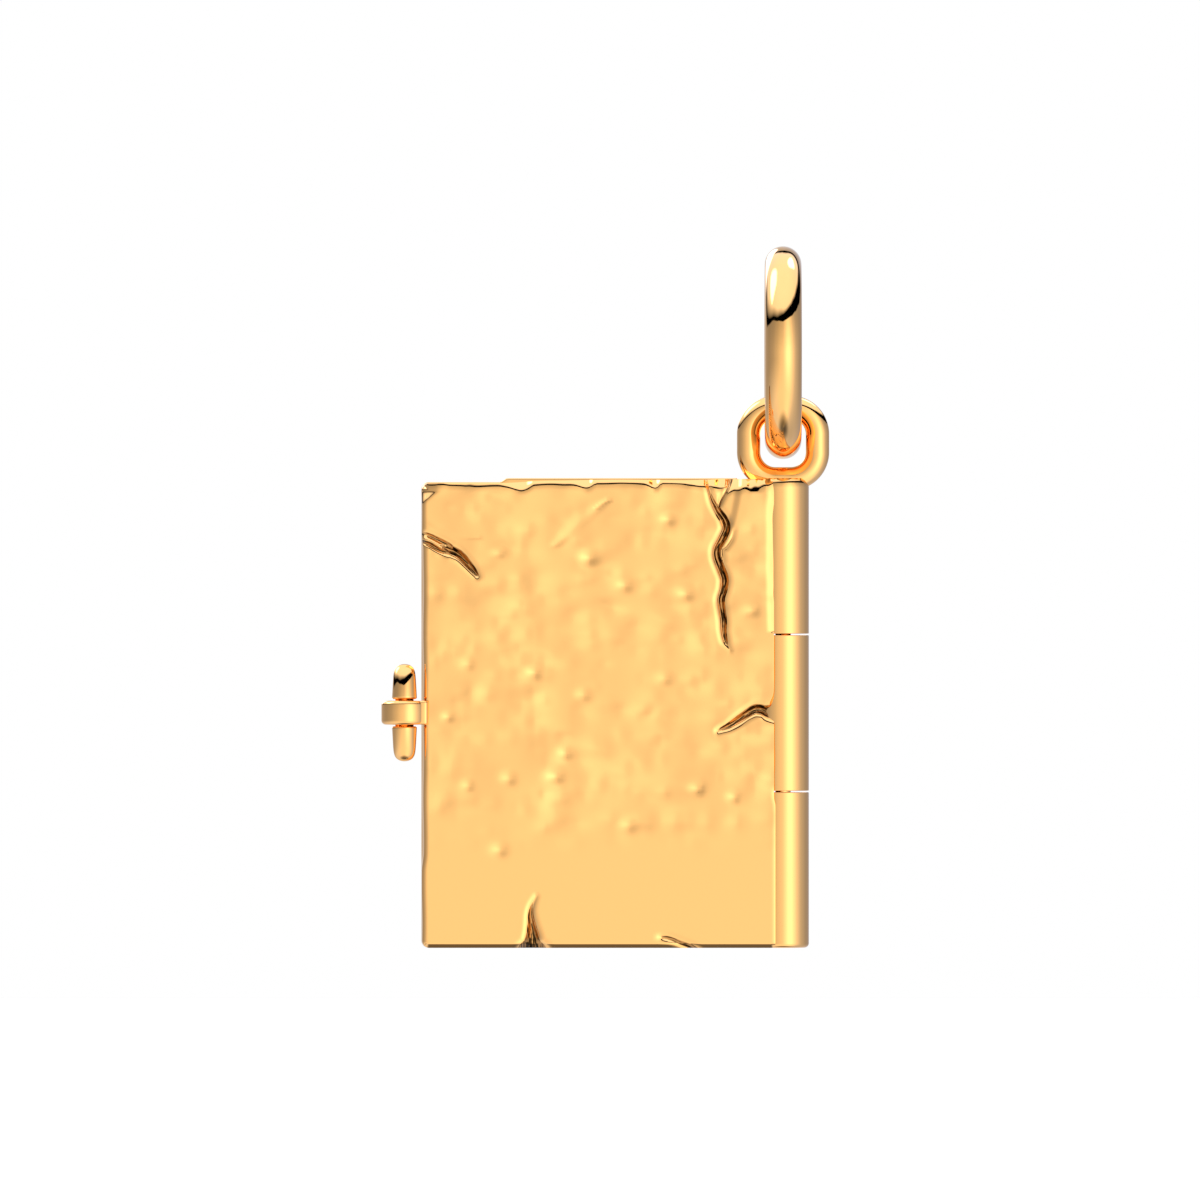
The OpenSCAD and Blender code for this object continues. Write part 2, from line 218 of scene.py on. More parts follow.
# The slope of a hollow or dent that faces the fore-edge is steep and the other gentle, and so are the sides
# of the folds: widths as shares of the radius
HOLLOW_SIDES = (0.75, 1.4)
DENT_SIDES = (0.85, 1.2)
# How far a hollow or dent reaches up and down, as a share of its radius
BOWL_HEIGHT = 0.85

# Bands of grid lines over a cover, each [from, to, spacing]: closest where the cracks are
BACK_COLUMNS = [[0.13, 1.95, 0.034], [1.95, 3.15, 0.08], [3.15, 4.1, 0.036], [4.1, 7.7, 0.095],
                [7.7, 9.1, 0.075], [9.1, 10.5, 0.03], [10.5, 11.33, 0.036]]
BACK_ROWS = [[0.13, 3.2, 0.034], [3.2, 5.5, 0.045], [5.5, 7.05, 0.09], [7.05, 8.2, 0.034],
             [8.2, 13.2, 0.09], [13.2, 14.93, 0.038]]
FRONT_COLUMNS = [[0.13, 11.33, 0.075]]
FRONT_ROWS = [[0.13, 14.93, 0.075]]

# The front cover's top edge has a low corner at the fore-edge and a notch for the bail
FRONT_STEP = [2.55, 2.8]
FRONT_LOW = -0.03
FRONT_HIGH = -0.16
NOTCH_SIDE = 0.06
NOTCH_ACROSS = NOTCH_SIDE - back_high[0] - COVER_LEFT
NOTCH_DROP = 0.35


def linear(hex_colour):
    """Linear colour, with alpha, of an sRGB hex colour."""
    channels = [int(hex_colour[i:i + 2], 16) / 255 for i in (1, 3, 5)]
    return [c / 12.92 if c <= 0.04045 else ((c + 0.055) / 1.055) ** 2.4 for c in channels] + [1.0]


class BookCharmSizes(bpy.types.PropertyGroup):
    """Sizes that a user would change"""

    ring_wire: bpy.props.FloatProperty(
        name="Ring wire", description="Diameter of the ring's round wire",
        default=(ring_high[0] - ring_low[0]) * MM, min=0.0008, max=0.002, unit="LENGTH", subtype="DISTANCE")
    bail_wire: bpy.props.FloatProperty(
        name="Bail wire", description="Diameter of the bail's round wire",
        default=0.76 * MM, min=0.0005, max=0.001, unit="LENGTH", subtype="DISTANCE")
    edge_radius: bpy.props.FloatProperty(
        name="Edge radius", description="Radius of the polished edges round a cover's face",
        default=0.15 * MM, min=0.00005, max=0.00018, unit="LENGTH", subtype="DISTANCE")
    corner_radius: bpy.props.FloatProperty(
        name="Corner radius", description="Radius of the covers' fore-edge corners",
        default=0.24 * MM, min=0.00015, max=0.0004, unit="LENGTH", subtype="DISTANCE")
    barrel_radius: bpy.props.FloatProperty(
        name="Barrel radius", description="Radius of the hinge barrel",
        default=0.84 * MM, min=0.0007, max=0.00084, unit="LENGTH", subtype="DISTANCE")
    clip_width: bpy.props.FloatProperty(
        name="Clip width", description="Outside diameter of the clasp's clip",
        default=1.5 * MM, min=0.0014, max=0.0016, unit="LENGTH", subtype="DISTANCE")
    wear: bpy.props.FloatProperty(
        name="Wear", description="Depth of the dents, folds and soft hollows, as a share of the worn charm's",
        default=1.0, min=0.0, max=1.5, subtype="FACTOR")


class BookCharmFinish(bpy.types.PropertyGroup):
    """Colours and polish that a user would change"""

    gold: bpy.props.FloatVectorProperty(
        name="Gold", description="Colour of the polished gold", size=4, subtype="COLOR",
        default=linear("#ffc479"), min=0, max=1)
    # Painted shade: the brown that stands for the shade inside the cracks
    painted_crack_shade: bpy.props.FloatVectorProperty(
        name="Residue", description="Colour of the gold deep in the cracks, where the mop never reaches",
        size=4, subtype="COLOR", default=linear("#bd8a50"), min=0, max=1)
    # Painted shade: the near-black that stands for the deepest shade in the cracks, laid in streaks
    painted_deep_crack_shade: bpy.props.FloatVectorProperty(
        name="Soot", description="Colour of the blackened streaks on the floor of the cracks", size=4,
        subtype="COLOR", default=linear("#3a2812"), min=0, max=1)
    polish: bpy.props.FloatProperty(
        name="Polish", description="Roughness of the polished gold", default=0.035, min=0, max=0.3,
        subtype="FACTOR")
    floor: bpy.props.FloatVectorProperty(
        name="Floor", description="Colour of the plain floor", size=4, subtype="COLOR",
        default=linear("#fafafa"), min=0, max=1)


def sizes():
    return bpy.context.scene.book_charm_sizes


def finish():
    return bpy.context.scene.book_charm_finish


def ease(x, start=0, width=1):
    """Goes softly from 0 to 1 as x goes on from the start over the width."""
    share = np.clip((x - start) / width, 0, 1)
    return share * share * (3 - 2 * share)


def soft_clip(x, rounding):
    """Height above zero, rounded where it leaves zero."""
    return (x + np.sqrt(x * x + rounding ** 2)) / 2


def spline(rows, steps=8):
    """Rows of numbers joined by a smooth curve through each of them."""
    rows = np.array(rows, float)
    ends = np.vstack([2 * rows[0] - rows[1], rows, 2 * rows[-1] - rows[-2]])
    t = np.linspace(0, 1, steps, endpoint=False)[:, None]
    parts = []
    for a, b, c, d in zip(ends, ends[1:], ends[2:], ends[3:]):
        parts.append(b + t / 2 * (c - a + t * (2 * a - 5 * b + 4 * c - d + t * (3 * (b - c) + d - a))))
    return np.vstack(parts + [rows[-1:]])


def follow(rows, x):
    """Height at x of a smooth line through [x, height] rows."""
    line = spline(rows)
    return np.interp(x, line[:, 0], line[:, 1])


def grid(rows, columns, round_rows=False, round_columns=False):
    """Four-sided faces of points stored row by row, closed round the way that is asked."""
    row_numbers, column_numbers = np.arange(rows - (not round_rows)), np.arange(columns - (not round_columns))
    a, b = (i.ravel() for i in np.meshgrid(row_numbers, column_numbers, indexing="ij"))
    next_a, next_b = (a + 1) % rows, (b + 1) % columns
    corners = (a * columns + b, a * columns + next_b, next_a * columns + next_b, next_a * columns + b)
    return np.stack(corners, axis=1).tolist()


def turned(profile, segments=96, closed=False):
    """A [radius, z] profile turned about the hinge's axis, with its open ends capped."""
    profile, around = np.array(profile, float), circle(2, segments)
    x = HINGE_X + np.outer(profile[:, 0], around[:, 0])
    y = np.outer(profile[:, 0], around[:, 1])
    z = np.repeat(profile[:, 1:], segments, axis=1)
    points = np.stack([x, y, z], axis=-1).reshape(-1, 3)
    faces = grid(len(profile), segments, round_rows=closed, round_columns=True)
    if not closed:
        last = len(points)
        points = np.vstack([points, [HINGE_X, 0, profile[0, 1]], [HINGE_X, 0, profile[-1, 1]]])
        first_row = np.arange(segments)
        last_row = first_row + (len(profile) - 1) * segments
        for row, pole in ((first_row, last), (last_row, last + 1)):
            faces += np.stack([row, np.roll(row, -1), np.full(segments, pole)], axis=1).tolist()
    return points, faces


def swept(path, sides, ups, sections, closed=False):
    """Sections carried along a path: their points are given along the side and the up direction there.
    One direction or one section may stand for all."""
    path, sections = np.array(path, float), np.array(sections, float)
    sides, ups = (np.broadcast_to(v, path.shape)[:, None, :] for v in (sides, ups))
    points = path[:, None, :] + sections[..., :1] * sides + sections[..., 1:] * ups
    rows, columns = points.shape[:2]
    faces = grid(rows, columns, round_rows=closed, round_columns=True)
    if not closed:
        faces += [list(range(columns)), list(range((rows - 1) * columns, rows * columns))]
    return points.reshape(-1, 3), faces


def circle(diameter, segments):
    angles = np.linspace(0, 2 * math.pi, segments, endpoint=False)
    return diameter / 2 * np.stack([np.cos(angles), np.sin(angles)], axis=1)


def rounded_box(width, height, radius, steps=6):
    """Outline of a rounded rectangle about its middle, counter-clockwise, with its outward directions."""
    points, outward = [], []
    for quarter, (sx, sy) in enumerate([(1, 1), (-1, 1), (-1, -1), (1, -1)]):
        for angle in np.radians(np.linspace(0, 90, steps + 1) + 90 * quarter):
            direction = np.array([math.cos(angle), math.sin(angle)])
            centre = np.array([sx * (width / 2 - radius), sy * (height / 2 - radius)])
            points.append(centre + radius * direction)
            outward.append(direction)
    return np.array(points), np.array(outward)


def fillet(centre, radius, start, stop, steps=5):
    """Points of an arc from one angle in degrees to another."""
    angles = np.radians(np.linspace(start, stop, steps + 1))
    return [[centre[0] + radius * math.cos(a), centre[1] + radius * math.sin(a)] for a in angles]


def joined(*parts):
    """Several points-and-faces pairs as one."""
    points, faces, start = [], [], 0
    for part_points, part_faces in parts:
        points.append(part_points)
        faces += [[start + i for i in face] for face in part_faces]
        start += len(part_points)
    return np.vstack(points), faces


def add_piece(name, shape, body, node, material, tracks=None):
    """A smooth piece from points in millimetres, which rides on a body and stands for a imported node."""
    points, faces = shape
    mesh = bpy.data.meshes.new(name)
    mesh.from_pydata((np.array(points) * MM).tolist(), [], faces)
    work = bmesh.new()
    work.from_mesh(mesh)
    bmesh.ops.recalc_face_normals(work, faces=work.faces)
    work.to_mesh(mesh)
    work.free()
    if tracks is not None:
        for track, values in zip(TRACKS, tracks):
            mesh.attributes.new(track, "FLOAT", "POINT").data.foreach_set("value", values.astype(np.float32))
    mesh.shade_smooth()
    mesh.materials.append(material)
    piece = bpy.data.objects.new(name, mesh)
    bpy.context.scene.collection.objects.link(piece)
    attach(piece, body)
    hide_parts(node)


def add_node(tree, kind, settings=None, **links):
    """Adds one shader node: settings go on the node or its sockets, and links join its sockets by name."""
    node = tree.nodes.new(kind)
    for key, value in (settings or {}).items():
        if isinstance(key, str) and hasattr(node, key):
            setattr(node, key, value)
        else:
            node.inputs[key].default_value = value
    for key, source in links.items():
        socket = int(key[1:]) if key[0] == "i" and key[1:].isdigit() else key.replace("_", " ")
        tree.links.new(source, node.inputs[socket])
    return node


def calculated(tree, operation, *values, clamp=False):
    """Output of a math node on numbers and sockets."""
    node = add_node(tree, "ShaderNodeMath", {"operation": operation, "use_clamp": clamp})
    for i, value in enumerate(values):
        if isinstance(value, (int, float)):
            node.inputs[i].default_value = value
        else:
            tree.links.new(value, node.inputs[i])
    return node.outputs[0]


def noise(tree, place, size, detail):
    """Noise with a grain of a size in millimetres."""
    node = add_node(tree, "ShaderNodeTexNoise", {"Scale": 1 / (size * MM), "Detail": detail}, Vector=place)
    return node.outputs["Fac"]


def mapped(tree, value, start, stop, low=0, high=1, kind="LINEAR"):
    """A value carried from one range over to another."""
    limits = {"From Min": start, "From Max": stop, "To Min": low, "To Max": high}
    return add_node(tree, "ShaderNodeMapRange", {"interpolation_type": kind, **limits},
                    Value=value).outputs["Result"]


def new_material(name):
    material = bpy.data.materials.new(name)
    material.use_nodes = True
    material.node_tree.nodes.clear()
    return material, material.node_tree


def polished_gold():
    """Polished 18 carat gold: cast, filed and mopped to a mirror.
    To the eye it is a deep mirror with warm yellow highlights, softened a little by the mop's hairlines."""
    name = "polished 18 carat gold"
    if name in bpy.data.materials:
        return bpy.data.materials[name]
    material, tree = new_material(name)
    place = add_node(tree, "ShaderNodeTexCoord").outputs["Object"]
    # Mop marks 0.12 mm apart
    marks = noise(tree, place, 0.12, 2)
    # Clouding 1.5 mm across, where the mop pressed more or less
    rough = mapped(tree, noise(tree, place, 1.5, 3), 0, 1, 0.5 * finish().polish, 1.6 * finish().polish)
    bump = add_node(tree, "ShaderNodeBump", {"Strength": 0.08, "Distance": 0.002 * MM}, Height=marks)
    gold = add_node(tree, "ShaderNodeBsdfPrincipled", {"Base Color": finish().gold, "Metallic": 1.0},
                    Roughness=rough, Normal=bump.outputs["Normal"])
    add_node(tree, "ShaderNodeOutputMaterial", Surface=gold.outputs["BSDF"])
    return material


def worn_gold_with_painted_crack_shade():
    """Worn 18 carat gold: the same metal on the covers, dented and cracked by hand tools and then mopped.
    To the eye its mirror is dappled, and the cracks carry painted shade: dark brown, streaked along their
    length and black where they are deep."""
    name = "worn 18 carat gold with painted crack shade"
    if name in bpy.data.materials:
        return bpy.data.materials[name]
    material, tree = new_material(name)
    place = add_node(tree, "ShaderNodeTexCoord").outputs["Object"]
    # Fine pitting of the cast surface 0.1 mm apart, and clouding 2.2 mm across
    pits = noise(tree, place, 0.1, 2)
    rough = mapped(tree, noise(tree, place, 2.2, 3), 0, 1, 0.6 * finish().polish, 1.8 * finish().polish)
    inside, side, along = (add_node(tree, "ShaderNodeAttribute", {"attribute_name": track}).outputs["Fac"]
                           for track in TRACKS)
    # Streaks 0.08 mm apart across a crack and 0.5 mm long
    streak_place = add_node(tree, "ShaderNodeCombineXYZ", X=side, Y=along)
    stretched = add_node(tree, "ShaderNodeVectorMath", {"operation": "MULTIPLY", 1: (1 / 0.08, 1 / 0.5, 0)},
                         i0=streak_place.outputs[0])
    streaks = add_node(tree, "ShaderNodeTexNoise", {"Scale": 1.0, "Detail": 2.0},
                       Vector=stretched.outputs[0]).outputs["Fac"]
    # Painted shade in the cracks: the deeper the crack, the more of its painted shade is black
    painted_shade_amount = calculated(tree, "MULTIPLY_ADD", inside, 0.28, streaks)
    shade = mapped(tree, painted_shade_amount, 0.49, 0.6, kind="SMOOTHSTEP")
    # The painted shade stops short of one bank's lip, which stays gold, and runs up to the other bank's lip
    # in brown
    shade_margin_by_bank = mapped(tree, side, -0.06, 0.06, 0.01, 0.07)
    deep = mapped(tree, calculated(tree, "SUBTRACT", inside, shade_margin_by_bank), 0, 0.03, kind="SMOOTHSTEP")
    # Painted shade: brown, turning black along the streaks and where the crack is deep
    tone = add_node(tree, "ShaderNodeMix", {"data_type": "RGBA", 6: finish().painted_crack_shade, 7: finish().painted_deep_crack_shade},
                    Factor=shade)
    # Inside the cracks the gold colour is replaced by this painted shade
    colour = add_node(tree, "ShaderNodeMix", {"data_type": "RGBA", 6: finish().gold}, Factor=deep,
                      i7=tone.outputs[2])
    relief = calculated(tree, "MULTIPLY", deep, streaks)
    scored = add_node(tree, "ShaderNodeBump", {"Strength": 0.8, "Distance": 0.03 * MM}, Height=relief)
    bump = add_node(tree, "ShaderNodeBump", {"Strength": 0.1, "Distance": 0.002 * MM}, Height=pits,
                    Normal=scored.outputs["Normal"])
    gold = add_node(tree, "ShaderNodeBsdfPrincipled", {"Metallic": 1.0}, Base_Color=colour.outputs[2],
                    Roughness=rough, Normal=bump.outputs["Normal"])
    add_node(tree, "ShaderNodeOutputMaterial", Surface=gold.outputs["BSDF"])
    return material


def groove_field(across, down, rows):
    """Distance from a groove's middle line, its half-width there, and the places across and along it."""
    far, reach, least_half = 9.0, 0.6, 0.02
    distance, half = np.full(across.shape, far), np.full(across.shape, least_half)
    side, along = np.zeros(across.shape), np.zeros(across.shape)
    line = spline(rows)
    near = ((across > line[:, 0].min() - reach) & (across < line[:, 0].max() + reach)
            & (down > line[:, 1].min() - reach) & (down < line[:, 1].max() + reach))
    u, v = across[near], down[near]
    fields = [field[near] for field in (distance, half, side, along)]
    start = 0
    for a, b in zip(line, line[1:]):
        d = b[:2] - a[:2]
        length = max(math.hypot(*d), 1e-6)
        t = np.clip(((u - a[0]) * d[0] + (v - a[1]) * d[1]) / length ** 2, 0, 1)
        off_u, off_v = u - a[0] - t * d[0], v - a[1] - t * d[1]
        here = [np.hypot(off_u, off_v), np.maximum((a[2] + t * (b[2] - a[2])) / 2, least_half),
                (d[0] * off_v - d[1] * off_u) / length, start + t * length]
        closer = here[1] - here[0] > fields[1] - fields[0]
        fields = [np.where(closer, new, old) for new, old in zip(here, fields)]
        start += length
    for field, found in zip((distance, half, side, along), fields):
        field[near] = found
    return distance, half, side, along


def no_crack(count):
    """Tracks of points that lie away from every crack."""
    return np.repeat([[-SOFT_ARC_W], [0], [0]], count, axis=1)


def crack_depth(across, down):
    """Depth of the cracks, whose lips roll over into steep banks, and the tracks that the cracks' painted
    shade and streaks follow.
    """
    depth, tracks = np.zeros(len(across)), no_crack(len(across))
    slope = SOFT_ARC_W / SOFT_ARC_R
    bend = (BANK_SLOPE - slope) / TIGHT_ARC_W
    for groove, rows in CRACKS:
        distance, half, side, along = groove_field(across, down, rows)
        inside = half - distance
        soft = np.clip(inside + SOFT_ARC_W, 0, SOFT_ARC_W)
        tight = np.clip(inside, 0, TIGHT_ARC_W)
        straight = np.clip(inside - TIGHT_ARC_W, 0, None)
        bank = soft ** 2 / 2 / SOFT_ARC_R + slope * tight + bend * tight ** 2 / 2 + BANK_SLOPE * straight
        limit = groove * np.clip(half / FULL_HALF, 0.05, 1)
        depth = np.maximum(depth, limit * np.tanh(bank / limit))
        here = np.stack([np.maximum(inside, -SOFT_ARC_W), side, along])
        tracks = np.where(inside > tracks[0], here, tracks)
    return depth, tracks


def fold_depth(across, down):
    """Depth of the soft folds, and of the lower metal between the top crack and the wall beside it."""
    crack_line = spline(TOP_CRACK)
    past_crack = across - np.interp(down, crack_line[:, 1], crack_line[:, 0])
    before_wall = follow(GULLY_WALL, down) - across
    total = GULLY_DEPTH * ease(before_wall, 0, GULLY_WALL_W) * ease(past_crack, -0.05, 0.1)
    total = total * (1 - ease(down, GULLY_END, GULLY_FADE))
    for fold, rows in FOLDS:
        distance, half, side, _ = groove_field(across, down, rows)
        width = half * np.where(side * fold < 0, *DENT_SIDES)
        total += fold * np.exp(-(distance / width) ** 2)
    return total


def bowl(off_across, off_down, radius, depth, sides):
    """A soft round hollow, or a swell where the depth is negative, steep where it faces the fore-edge."""
    width = radius * np.where(off_across * depth > 0, *sides)
    return depth * np.exp(-(off_across / width) ** 2 - (off_down / (BOWL_HEIGHT * radius)) ** 2)


def dent_depth(across, down, dents):
    total = np.zeros(across.shape)
    for u, v, diameter, strength in dents:
        total += bowl(across - u, down - v, diameter / 2, DENT_DEPTH * strength, DENT_SIDES)
    return total


def soft_hollows(across, down, seed):
    """Low hollows and swells of hand work over the face, which fade out towards the bottom edge."""
    chance = np.random.default_rng(seed)
    total = np.zeros(across.shape)
    for count, smallest, largest, height in HOLLOWS:
        for _ in range(count):
            u, v = chance.uniform(0, COVER_W), chance.uniform(0, HOLLOWS_DOWN)
            radius = chance.uniform(smallest, largest)
            lift = chance.choice([-1, 1]) * chance.uniform(0.3, 1) * height * radius
            total += bowl(across - u, down - v, radius, lift, HOLLOW_SIDES)
    return total * (1 - ease(down, HOLLOWS_END, HOLLOWS_FADE)) * ease(down, -0.1, 0.5)


def corner_chip(across, down):
    """The upper fore-edge corner is knocked down to the left, with a slanted facet below it."""
    chip_w, chip_h = 0.54, 0.27
    left_slope, down_slope = 0.45, 0.6
    knocked = left_slope * (chip_w - across) - down_slope * soft_clip(down - chip_h, 0.04)
    return soft_clip(knocked, 0.035)


def hinge_shoulder(across, down):
    """The face rolls down to the barrel: broadly at the upper knuckle, less at the lower, hardly between."""
    upper_w, lower_w, middle_w = 0.31, 0.12, 0.04
    middle_from, middle_to = 4.83, 9.85
    arc_r, arc_w = 0.56, 0.19
    middle = ease(down, middle_from, 0.08) * (1 - ease(down, middle_to, 0.2))
    width = lower_w + (upper_w - lower_w) * (1 - ease(down, 2, 9))
    width = width + (middle_w - width) * middle
    past_start = width - (COVER_W - across)
    arc = np.clip(past_start, 0, arc_w)
    straight = np.clip(past_start - arc_w, 0, None)
    return arc_r - np.sqrt(arc_r ** 2 - arc ** 2) + straight * arc_w / math.sqrt(arc_r ** 2 - arc_w ** 2)


def edge_roll(across, down, radius, bites=0):
    """Depth of a face's rounded fore-edge and top edge, pushed in by the bites, and of the plain bevel along
    its bottom edge. The edges roll over in a soft arc, in a tight one of the given radius and in a bank."""
    turn, end_turn = math.radians(EDGE_ARC_TURN), math.radians(EDGE_END_TURN)
    edge = np.minimum(FORE_TIGHTER * across, down - bites)
    past_soft = radius * (1 - math.sin(turn))
    soft_w = EDGE_ARC_R * math.sin(turn)
    soft = np.clip(past_soft + soft_w - edge, 0, soft_w)
    roll = EDGE_ARC_R - np.sqrt(EDGE_ARC_R ** 2 - soft ** 2)
    end = radius * math.sin(end_turn)
    tight = np.clip(radius - edge, radius * math.sin(turn), end)
    roll = roll + radius * math.cos(turn) - np.sqrt(radius ** 2 - tight ** 2)
    roll = roll + math.tan(end_turn) * np.clip(radius - end - edge, 0, None)
    bevel = np.clip(1 - (COVER_H - down) / BOTTOM_BEVEL, 0, 1)
    return np.maximum(roll, BOTTOM_BEVEL * (1 + BEVEL_SOFTNESS) * bevel ** 2 / (bevel + BEVEL_SOFTNESS))


def bite_drop(across):
    """How far the bites push the back cover's top edge down."""
    total = follow(TOP_PUSH, across)
    for start, width, drop, lean in BITES:
        share = np.clip((across - start) / width, 0, 1)
        total += drop * np.sin(math.pi * share ** lean) ** BITE_POWER
    return total


def rim_dip(across, down):
    """Small flat facet beside the bail's foot that faces up."""
    window = ease(across, DIP_FROM, DIP_SIDE) * ease(DIP_TO - across, 0, DIP_SIDE)
    return window * DIP_SLOPE * soft_clip(DIP_DOWN - down, DIP_ROUNDING)


def back_face(across, down):
    depth, tracks = crack_depth(across, down)
    worn = fold_depth(across, down) + dent_depth(across, down, BACK_DENTS)
    worn = worn + soft_hollows(across, down, BACK_SEED)
    depth += edge_roll(across, down, sizes().edge_radius / MM, bite_drop(across))
    depth += corner_chip(across, down) + rim_dip(across, down) + hinge_shoulder(across, down)
    return depth + sizes().wear * worn, tracks


def front_face(across, down):
    worn = dent_depth(across, down, FRONT_DENTS) + FRONT_HOLLOWS * soft_hollows(across, down, FRONT_SEED)
    roll = edge_roll(across, down, sizes().edge_radius / MM) + hinge_shoulder(across, down)
    return roll + sizes().wear * worn, no_crack(len(across))


def back_edges(across, down):
    """How far the back cover's edges are worn in, from the fore-edge, the top and the hinge side."""
    least, worn, ripple = 0.03, 0.05, 0.01
    fore = least + worn * ease(down, 1.7, 0.5) * (1 - ease(down, 12, 0.6))
    fore = fore + ripple * np.sin(2.3 * down) * ease(down, 0, 3)
    crack_mouth, lower_swell = 0.14, 0.05
    hinge = crack_mouth * np.exp(-((down - 7.2) / 0.25) ** 2) - lower_swell * ease(down, 10.2, 0.3)
    return fore, follow(RIM_LINE, across), hinge


def front_edges(across, down):
    """How far the front cover's edges are pushed in, from the same three sides."""
    step_from, step_to = FRONT_STEP
    top = FRONT_LOW + (FRONT_HIGH - FRONT_LOW) * ease(across, step_from, step_to - step_from)
    top = top + (NOTCH_DROP - FRONT_HIGH) * ease(across, NOTCH_ACROSS - NOTCH_SIDE, NOTCH_SIDE)
    flat = np.zeros(across.shape)
    return flat, top, flat


def round_corners(across, down, inset, right_inset, radii):
    """Pulls a square corner's points on to round corners of the fore-edge and hinge-side radii."""
    across, down = across.copy(), down.copy()
    left, right = inset, COVER_W - right_inset
    top, bottom = inset, COVER_H - inset
    for at_right in (False, True):
        radius = radii[at_right]
        for at_bottom in (False, True):
            a = radius - ((right - across) if at_right else (across - left))
            b = radius - ((bottom - down) if at_bottom else (down - top))
            inside = (a > 0) & (b > 0)
            pull = np.where(inside, np.maximum(a, b) / np.maximum(np.hypot(a, b), 1e-9), 1)
            new_a, new_b = radius - a * pull, radius - b * pull
            across = np.where(inside, (right - new_a) if at_right else (left + new_a), across)
            down = np.where(inside, (bottom - new_b) if at_bottom else (top + new_b), down)
    return across, down


def cover_point(across, down, depth, side, inset, right_inset, radii, edges, worn):
    """Points of a cover, from places on its face, their depth below it and their share of the edge wear."""
    u, v = round_corners(across, down, inset, right_inset, radii)
    fore, top, hinge = edges(u, v)
    reach = 1.0
    u = u + worn * (fore * (1 - ease(u, 0, reach)) - hinge * (1 - ease(COVER_W - u, 0, reach)))
    v = v + worn * top * (1 - ease(v, 0, reach))
    return np.stack([COVER_LEFT + u, side * (HALF_T - depth), BOOK_TOP - v], axis=-1)


def lines(bands, length, radius, extra):
    """Grid lines over one direction of a cover: its edge fillets, its bands and a few given lines."""
    edge_w, apart = radius + 0.1, 0.01
    arc = edge_w * (1 - np.cos(np.radians(np.linspace(0, 90, 14))))
    inner = np.concatenate([np.linspace(a, b, max(2, round((b - a) / step) + 1)) for a, b, step in bands])
    inner = inner[(inner > edge_w + apart) & (inner < length - edge_w - apart)]
    return np.unique(np.round(np.concatenate([arc, inner, length - arc, extra]), 4))


def cover_stages(seam):
    """Loops from the face's outline to the recess's floor: [inset, share of the way from the face to a depth,
    that depth]. They go down the side wall, over the rim along the seam and into the recess."""
    r, floor_r, floor_middle = RIM_ROUND, FLOOR_ROUND, 0.035
    wall = [(0, share, seam - r) for share in (0.12, 0.28, 0.46, 0.7, 1)]
    outer = [(r * (1 - math.cos(a)), 1, seam - r * (1 - math.sin(a))) for a in (0.5, 1.0, math.pi / 2)]
    inner = [(RIM_W - r, 1, seam), (RIM_W - 0.3 * r, 1, seam - 0.3 * r), (RIM_W, 1, seam - r)]
    corner = [(RIM_W, 1, FACE_T + floor_r), (RIM_W + floor_middle, 1, FACE_T + floor_middle)]
    floor = [(RIM_W + floor_r, 1, FACE_T), (RIM_W + 1.5 * floor_r, 1, FACE_T)]
    return wall + outer + inner + corner + floor


def cover_shape(side, face, edges, columns, rows, knuckle_ranges):
    """A cover: its worn face, its side walls, the rim along the seam and the recess inside.
    knuckle_ranges are the heights where it makes room for the other cover's knuckles."""
    radius = sizes().edge_radius / MM
    radii = (sizes().corner_radius / MM, HINGE_CORNER_R)
    # Grid lines close to both sides of each joint between the knuckles
    joints = [BOOK_TOP - z + d for low, high in knuckle_ranges for z in (low, high) for d in (-0.006, 0.006)]
    u_lines = lines(columns, COVER_W, radius, [NOTCH_ACROSS - NOTCH_SIDE, NOTCH_ACROSS])
    v_lines = lines(rows, COVER_H, radius, [d for d in joints if 0 < d < COVER_H])
    v, u = (a.ravel() for a in np.meshgrid(v_lines, u_lines, indexing="ij"))
    depth, tracks = face(u, v)
    points = [cover_point(u, v, depth, side, 0, 0, radii, edges, 1)]
    wide, tall = len(u_lines), len(v_lines)
    faces = grid(tall, wide)
    loop = np.concatenate([np.arange(wide), np.arange(1, tall) * wide + wide - 1,
                           np.arange(wide - 2, -1, -1) + (tall - 1) * wide,
                           np.arange(tall - 2, 0, -1) * wide])
    loop_u, loop_v, loop_depth = u[loop], v[loop], depth[loop]
    previous, total = loop, len(u)
    least_corner_r, fade_down, fade_in = 0.12, 0.5, 0.3
    for inset, share, target in cover_stages(HALF_T - SEAM_GAP / 2):
        here = loop_depth + share * (target - loop_depth)
        right_inset = inset * HINGE_RIM_W / RIM_W
        shrink_u = inset + loop_u * (COVER_W - inset - right_inset) / COVER_W
        shrink_v = inset + loop_v * (COVER_H - 2 * inset) / COVER_H
        inner_radii = [max(r - inset, least_corner_r) for r in radii]
        # The edge wear fades out down the back cover's wall, and over the front cover's rim
        if side > 0:
            worn = 1 - ease(inset, 0, fade_in)
        else:
            worn = 1 - ease(here, radius, fade_down) if inset == 0 else 0
        ring = cover_point(shrink_u, shrink_v, here, side, inset, right_inset, inner_radii, edges, worn)
        ring[:, 0] = clear_of_knuckles(ring, knuckle_ranges)
        points.append(ring)
        now = np.arange(total, total + len(loop))
        faces += np.stack([previous, np.roll(previous, -1), np.roll(now, -1), now], axis=1).tolist()
        previous, total = now, total + len(loop)
    faces.append(previous.tolist())
    return (np.vstack(points), faces), np.hstack([tracks, no_crack(total - len(u))])


def clear_of_knuckles(points, ranges):
    """X of a cover's points, cut back to the clearance round the other cover's knuckles."""
    x, y, z = points.T
    clearance = sizes().barrel_radius / MM + KNUCKLE_ROOM
    limit = HINGE_X - np.sqrt(np.maximum(clearance ** 2 - y ** 2, 0))
    beside = np.zeros(len(x), bool)
    for low, high in ranges:
        beside |= (z > low) & (z < high)
    return np.where(beside & (np.abs(y) < clearance), np.minimum(x, limit), x)


